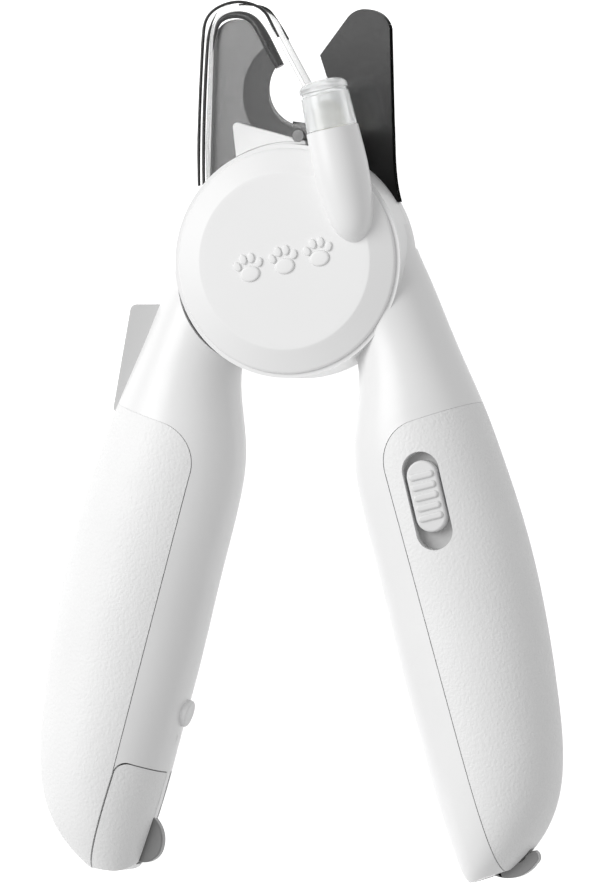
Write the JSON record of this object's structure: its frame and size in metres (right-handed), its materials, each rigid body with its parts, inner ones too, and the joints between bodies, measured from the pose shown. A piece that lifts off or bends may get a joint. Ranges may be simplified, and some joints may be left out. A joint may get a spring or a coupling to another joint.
{
  "type": "pet nail clipper",
  "caption": "Pliers-type pet nail clipper with crossed notched blades, a pivot lamp, slide switch, clear nail catcher, lock latch and pull-out file.",
  "frame": {"origin": "where the pivot axis meets the plane that the tool lies on, back down", "axes": "+Z out of the front face along the pivot axis, +Y towards the blade tips, +X towards the lamp handle"},
  "size_m": [0.0926, 0.1506, 0.0252],
  "materials": {
    "white_abs": "semi-gloss moulded white",
    "satin_white": "satin moulded white",
    "textured_white": "fine spark-eroded white",
    "frosted_clear": "clear lens, lightly frosted",
    "led_clear": "clear LED body",
    "wire_insulation": "soft insulated wire",
    "dark_plastic": "matt black",
    "cell_steel": "plated cell can",
    "nickel": "nickel-plated contact",
    "steel": "zinc-plated steel",
    "blade_steel": "ground stainless blade",
    "file_steel": "cross-cut steel",
    "nylon": "natural nylon",
    "grey_plastic": "light grey moulded",
    "grey_dark": "mid grey moulded",
    "bumper_rubber": "soft white elastomer",
    "knob_grey": "pale moulded knob",
    "clear_plastic": "clear polycarbonate"
  },
  "bodies": {
    "lamp_handle": {"lamp_handle_front_shell": "white_abs", "lamp_handle_back_shell": "white_abs", "lamp_handle_grip_pad": "textured_white", "lamp_housing": "white_abs", "lamp_lens": "frosted_clear", "lamp_led": "led_clear", "lamp_wires": "wire_insulation", "switch_body": "dark_plastic", "battery_door": "white_abs", "battery_door_screw": "steel", "battery_tray": "dark_plastic", "button_cells": "cell_steel", "contact_plate": "nickel", "contact_spring": "nickel", "pivot_bolt": "steel", "pivot_washer": "steel", "pivot_nut": "steel", "pivot_cap": "satin_white", "fixed_blade": "blade_steel", "blade_guard": "white_abs", "guard_screw": "steel", "latch_pin": "steel", "lamp_handle_screws": "steel"},
    "plain_handle": {"plain_handle_front_shell": "white_abs", "plain_handle_back_shell": "white_abs", "plain_handle_grip_pad": "textured_white", "moving_blade": "blade_steel", "pivot_bush": "nylon", "return_spring": "steel", "finger_guard": "grey_plastic", "stop_bumper": "bumper_rubber", "lock_catch": "grey_dark", "plain_handle_screws": "steel"},
    "switch_knob": {"slide_knob": "knob_grey"},
    "nail_catcher": {"nail_catcher_tray": "clear_plastic"},
    "lock_latch": {"lock_latch_hook": "grey_dark"},
    "nail_file": {"file_strip": "file_steel", "file_grip": "textured_white"}
  },
  "joints": [
    {"name": "handle_pivot", "type": "hinge", "parent": "lamp_handle", "child": "plain_handle", "pos_m": [0, 0, 0.0105], "axis": [0, 0, 1], "range_deg": [0, 28], "stiffness_Nm_per_rad": 0.3, "springref_deg": -22.92, "deforming": ["return_spring"]},
    {"name": "switch_slide", "type": "slide", "parent": "lamp_handle", "child": "switch_knob", "axis": [0.2368, -0.9715, 0], "range_m": [0, 0.0022]},
    {"name": "catcher_slide", "type": "slide", "parent": "lamp_handle", "child": "nail_catcher", "axis": [0, 1, 0], "range_m": [0, 0.045]},
    {"name": "latch_swing", "type": "hinge", "parent": "lamp_handle", "child": "lock_latch", "pos_m": [0.0322, -0.09837, 0.0105], "axis": [0, 0, -1], "range_deg": [0, 85]},
    {"name": "file_slide", "type": "slide", "parent": "plain_handle", "child": "nail_file", "axis": [-0.3156, -0.9489, 0], "range_m": [0, 0.045]}
  ]
}
